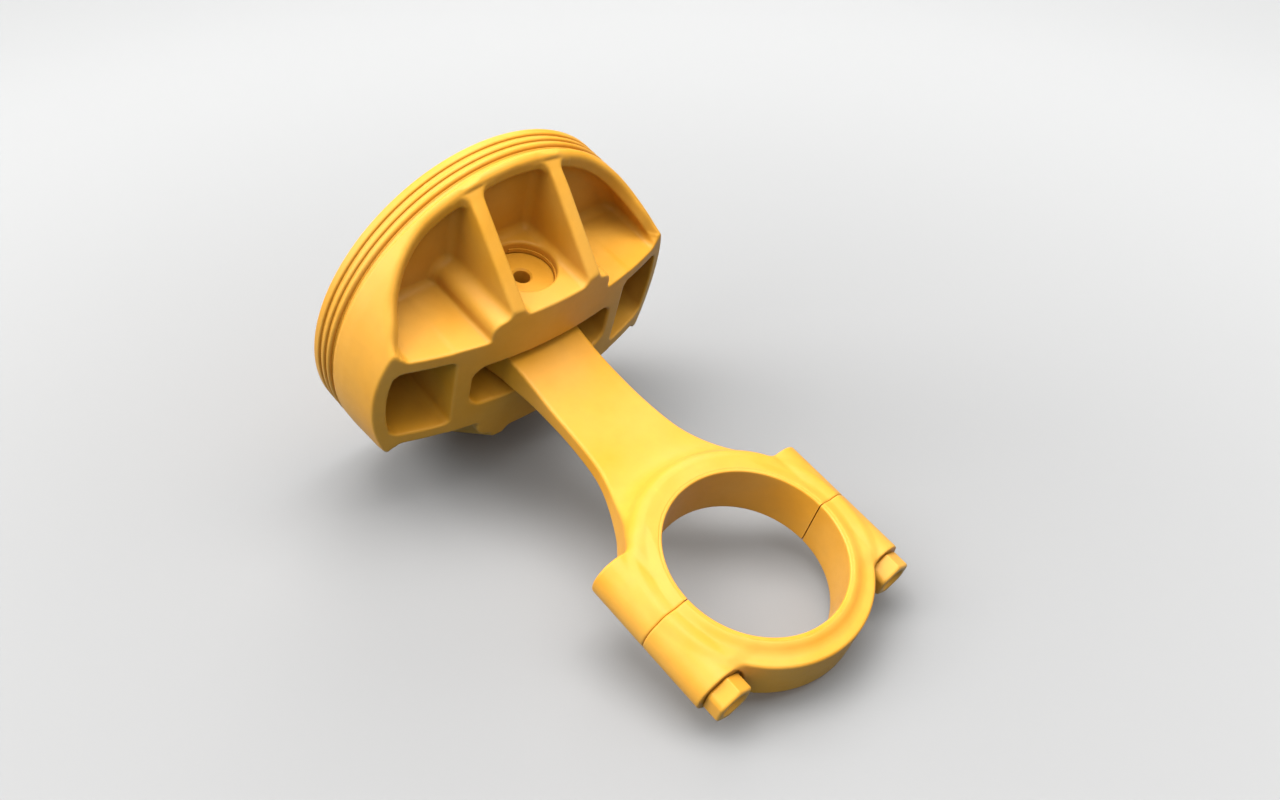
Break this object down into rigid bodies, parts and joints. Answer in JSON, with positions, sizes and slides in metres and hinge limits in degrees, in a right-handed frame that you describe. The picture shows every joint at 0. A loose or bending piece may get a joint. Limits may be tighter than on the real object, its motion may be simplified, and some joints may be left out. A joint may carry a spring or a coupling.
{
  "type": "piston",
  "caption": "Big-bore engine piston on its connecting rod: short-skirt body with ring belt, floating wrist pin, bladed rod and bolted big-end cap with bearing shells.",
  "frame": {"origin": "centre of the big-end (crankpin) bore, midway through its width", "axes": "+X along the crankpin and wrist pin, +Z along the rod towards the piston crown, +Y across the skirts (thrust direction)"},
  "size_m": [0.1116, 0.1114, 0.1635],
  "materials": {
    "piston_alloy": "satin golden-yellow coating, softly rounded cast edges",
    "ring_steel": "satin golden-yellow, as the ring belt around it",
    "pin_steel": "satin golden-yellow, ground smooth",
    "rod_coated": "satin golden-yellow coating over forged steel",
    "bush_bronze": "bored bronze",
    "bearing_coated": "satin golden-yellow overlay",
    "bolt_coated": "satin golden-yellow",
    "dowel_steel": "ground"
  },
  "bodies": {
    "rod": {"connecting_rod": "rod_coated", "rod_cap": "rod_coated", "small_end_bush": "bush_bronze", "bearing_shell_upper": "bearing_coated", "bearing_shell_lower": "bearing_coated", "rod_bolt_right": "bolt_coated", "rod_bolt_left": "bolt_coated", "cap_dowel_right": "dowel_steel", "cap_dowel_left": "dowel_steel"},
    "piston": {"piston_body": "piston_alloy", "circlip_front": "pin_steel", "circlip_rear": "pin_steel"},
    "pin": {"wrist_pin": "pin_steel"},
    "top_ring": {"top_compression_ring": "ring_steel"},
    "second_ring": {"second_compression_ring": "ring_steel"},
    "upper_rail": {"oil_ring_upper_rail": "ring_steel"},
    "expander": {"oil_ring_expander": "ring_steel"},
    "lower_rail": {"oil_ring_lower_rail": "ring_steel"}
  },
  "joints": [
    {"name": "piston_swing", "type": "hinge", "parent": "rod", "child": "piston", "pos_m": [0, 0, 0.106], "axis": [1, 0, 0], "range_deg": [-34, 34]},
    {"name": "pin_float", "type": "hinge", "parent": "piston", "child": "pin", "pos_m": [0, 0, 0.106], "axis": [1, 0, 0], "continuous": true},
    {"name": "top_ring_creep", "type": "hinge", "parent": "piston", "child": "top_ring", "pos_m": [0, 0, 0.12595], "axis": [0, 0, 1], "continuous": true},
    {"name": "second_ring_creep", "type": "hinge", "parent": "piston", "child": "second_ring", "pos_m": [0, 0, 0.12325], "axis": [0, 0, 1], "continuous": true},
    {"name": "upper_rail_creep", "type": "hinge", "parent": "piston", "child": "upper_rail", "pos_m": [0, 0, 0.12097], "axis": [0, 0, 1], "continuous": true},
    {"name": "expander_creep", "type": "hinge", "parent": "piston", "child": "expander", "pos_m": [0, 0, 0.1202], "axis": [0, 0, 1], "continuous": true},
    {"name": "lower_rail_creep", "type": "hinge", "parent": "piston", "child": "lower_rail", "pos_m": [0, 0, 0.11943], "axis": [0, 0, 1], "continuous": true}
  ]
}
